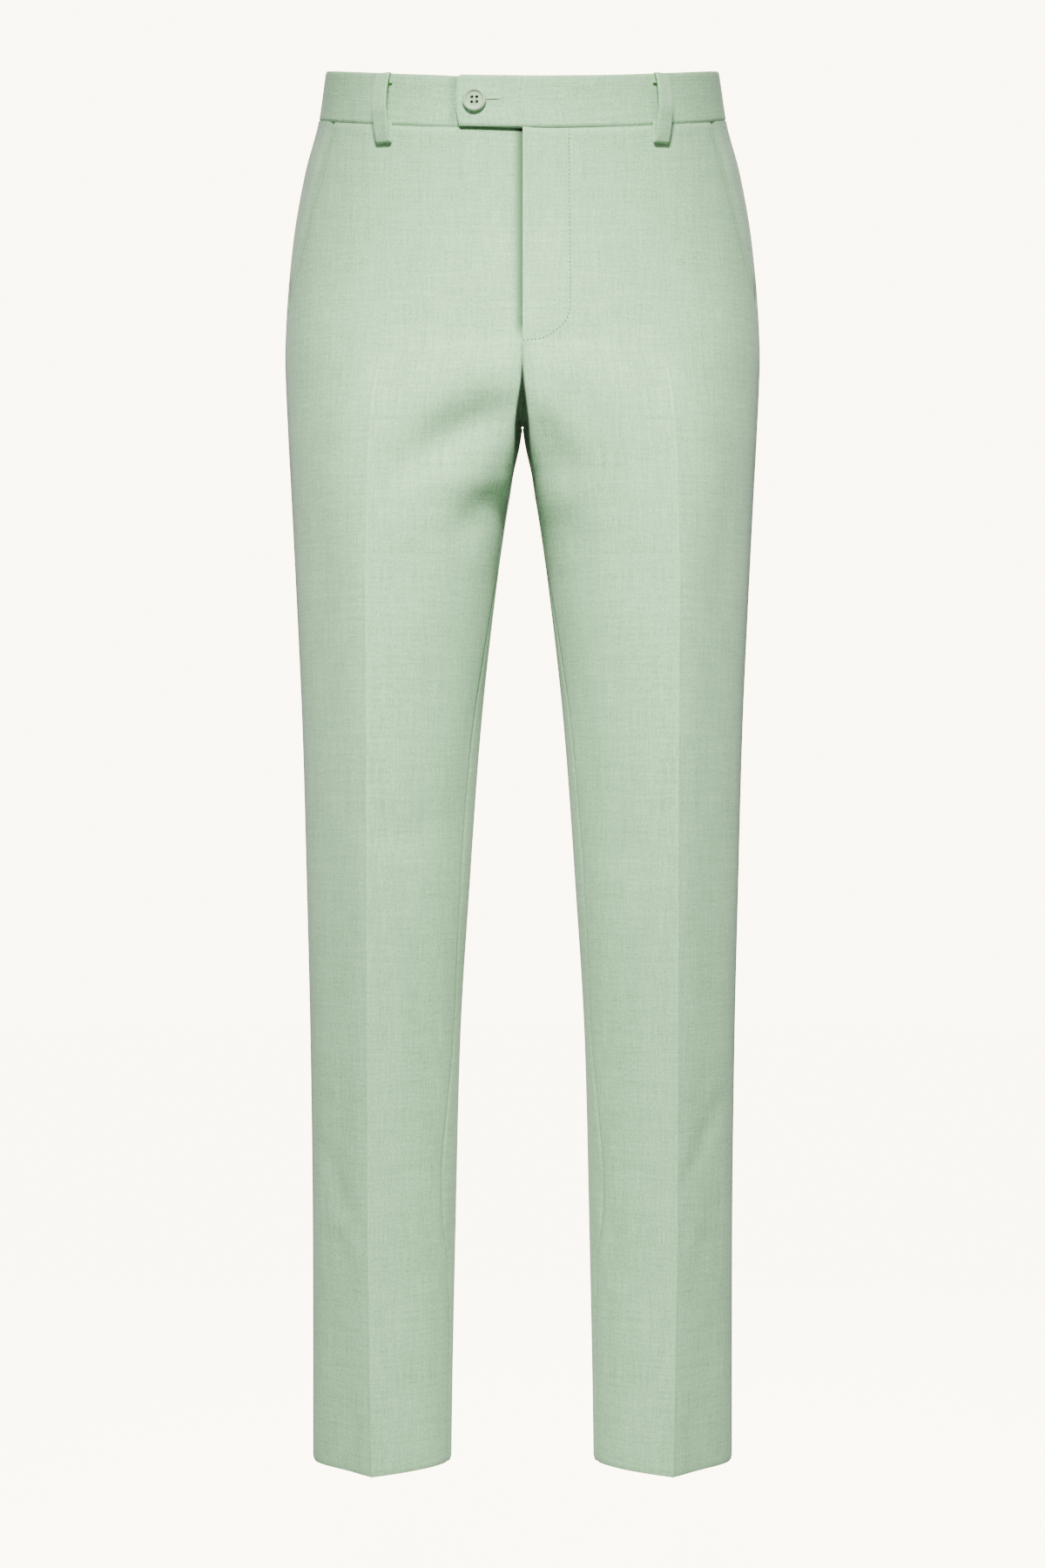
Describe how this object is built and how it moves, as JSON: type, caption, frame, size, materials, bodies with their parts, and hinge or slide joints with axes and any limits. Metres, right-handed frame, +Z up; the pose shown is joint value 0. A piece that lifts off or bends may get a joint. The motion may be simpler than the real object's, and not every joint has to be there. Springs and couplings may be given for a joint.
{
  "type": "suit trousers",
  "caption": "Slim suit trousers in pale sage cloth, filled out and hollow, with a buttoned tab, zip fly, slanted pockets and belt loops.",
  "frame": {"origin": "centre of the waist ring, halfway up the waistband at the sides", "axes": "+X towards the wearer's left, -Y the front, +Z up along the body"},
  "size_m": [0.3722, 0.2394, 1.0979],
  "materials": {
    "sage_cloth": "matte plain weave",
    "sage_facing": "matte plain weave",
    "zip_tape": "matte woven tape",
    "button_resin": "semi-matte resin"
  },
  "bodies": {
    "root": {"back_left": "sage_cloth", "back_right": "sage_cloth", "belt_loop_back": "sage_cloth", "belt_loop_front_left": "sage_cloth", "belt_loop_front_right": "sage_cloth", "belt_loop_side_left": "sage_cloth", "belt_loop_side_right": "sage_cloth", "button": "button_resin", "fly_shield": "sage_cloth", "fly_zip": "zip_tape", "front_left": "sage_cloth", "front_right": "sage_cloth", "pocket_facing_left": "sage_facing", "pocket_facing_right": "sage_facing", "waistband_left": "sage_cloth", "waistband_right": "sage_cloth"}
  },
  "joints": []
}
